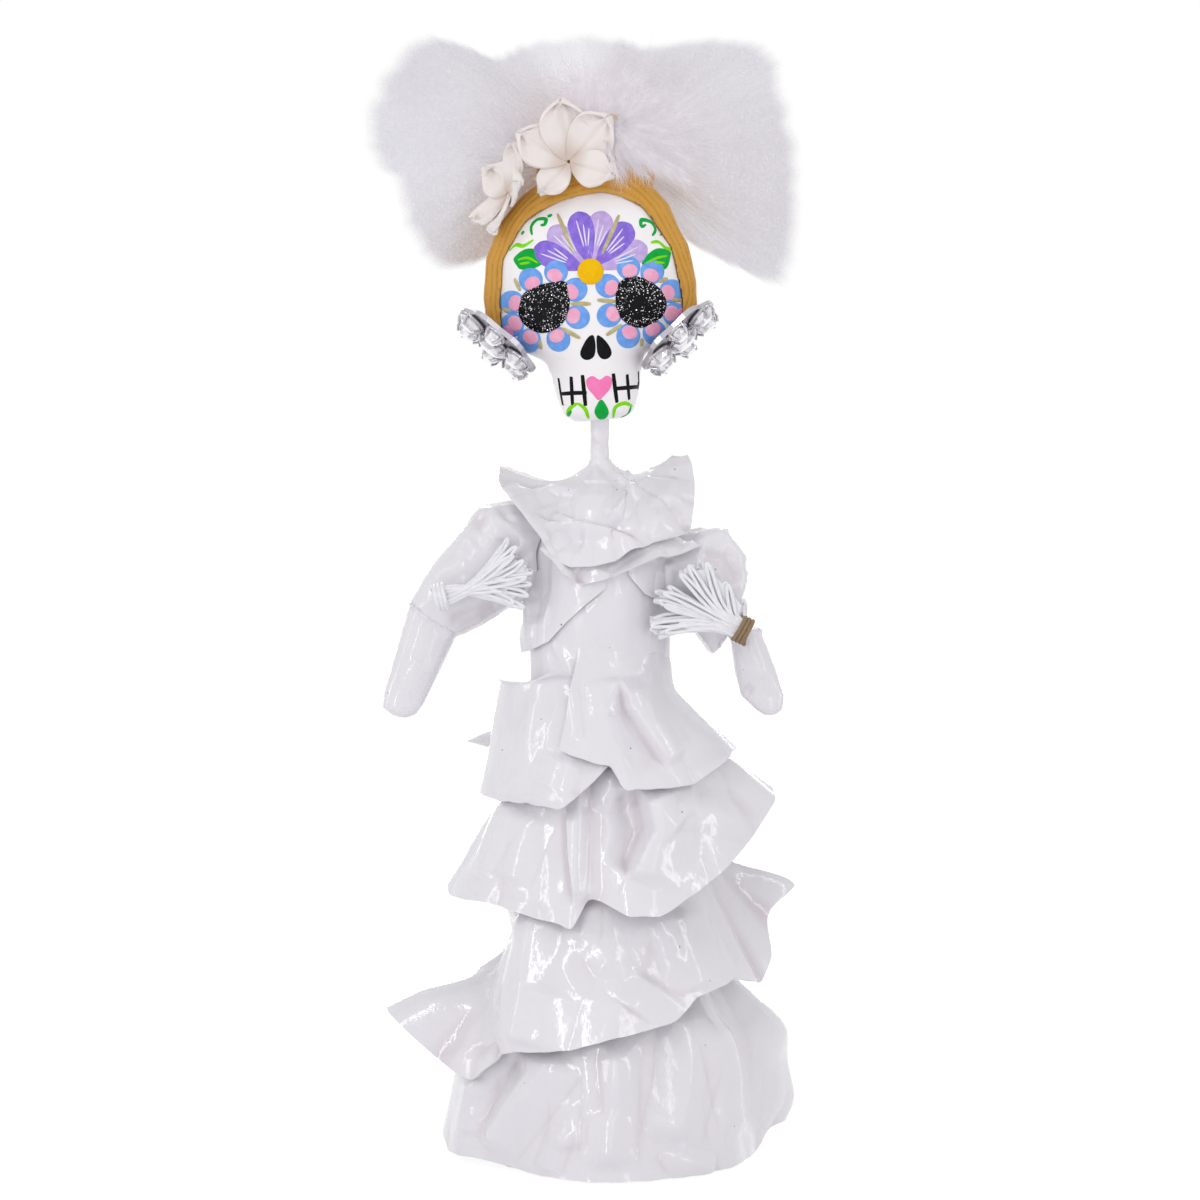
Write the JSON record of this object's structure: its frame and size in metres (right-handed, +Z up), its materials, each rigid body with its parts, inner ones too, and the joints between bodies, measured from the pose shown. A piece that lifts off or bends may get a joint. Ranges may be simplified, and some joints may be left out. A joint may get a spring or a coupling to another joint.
{
  "type": "skeleton bride figure",
  "caption": "Free-standing skeleton bride with a painted sugar-skull head, feather and tulle headdress, crystal earrings and a tiered dress of folded, lacquered white paper.",
  "frame": {"origin": "middle of the base disc's underside, on the table", "axes": "+Z up along the neck, -Y the way the face looks, +X to the viewer's right"},
  "size_m": [0.1157, 0.0861, 0.2994],
  "materials": {
    "cardboard": "plain pressed card",
    "steel_wire": "drawn wire",
    "stuffing_paper": "rolled, matt",
    "lacquered_paper": "painted white, glossy lacquer",
    "painted_cord": "stiffened with white paint",
    "brown_twine": "twisted, matt",
    "painted_clay": "smooth, satin varnish over paint",
    "tan_clay": "combed, glossy varnish",
    "flower_clay": "unglazed, matt",
    "marabou_feather": "soft down",
    "white_tulle": "fine net",
    "silver_setting": "plated, bright",
    "clear_crystal": "cut and foiled"
  },
  "bodies": {
    "root": {"base_disc": "cardboard", "spine_wire": "steel_wire", "skirt_core": "stuffing_paper", "arm_wire": "steel_wire", "bodice": "lacquered_paper", "neck_wrap": "lacquered_paper", "hem_skirt": "lacquered_paper", "lower_flounce": "lacquered_paper", "middle_flounce": "lacquered_paper", "peplum_back": "lacquered_paper", "peplum_left": "lacquered_paper", "peplum_right": "lacquered_paper", "left_lapel": "lacquered_paper", "right_lapel": "lacquered_paper", "lower_collar": "lacquered_paper", "upper_collar": "lacquered_paper", "left_puff_sleeve": "lacquered_paper", "left_forearm": "lacquered_paper", "right_puff_sleeve": "lacquered_paper", "right_forearm": "lacquered_paper", "left_cord_hank": "painted_cord", "left_elbow_tie": "painted_cord", "right_cord_hank": "painted_cord", "right_elbow_tie": "brown_twine", "skull": "painted_clay", "hair_cap": "tan_clay", "hair_bun": "tan_clay", "flower_1_petal_1": "flower_clay", "flower_1_petal_2": "flower_clay", "flower_1_petal_3": "flower_clay", "flower_1_petal_4": "flower_clay", "flower_1_petal_5": "flower_clay", "flower_2_petal_1": "flower_clay", "flower_2_petal_2": "flower_clay", "flower_2_petal_3": "flower_clay", "flower_2_petal_4": "flower_clay", "flower_2_petal_5": "flower_clay", "left_plume": "marabou_feather", "centre_plume": "marabou_feather", "right_plume": "marabou_feather", "left_veil": "white_tulle", "right_veil": "white_tulle", "left_earring_setting": "silver_setting", "left_earring_centre_stone": "clear_crystal", "left_earring_stone_1": "clear_crystal", "left_earring_stone_2": "clear_crystal", "left_earring_stone_3": "clear_crystal", "left_earring_stone_4": "clear_crystal", "left_earring_stone_5": "clear_crystal", "left_earring_stone_6": "clear_crystal", "right_earring_setting": "silver_setting", "right_earring_centre_stone": "clear_crystal", "right_earring_stone_1": "clear_crystal", "right_earring_stone_2": "clear_crystal", "right_earring_stone_3": "clear_crystal", "right_earring_stone_4": "clear_crystal", "right_earring_stone_5": "clear_crystal", "right_earring_stone_6": "clear_crystal"}
  },
  "joints": []
}
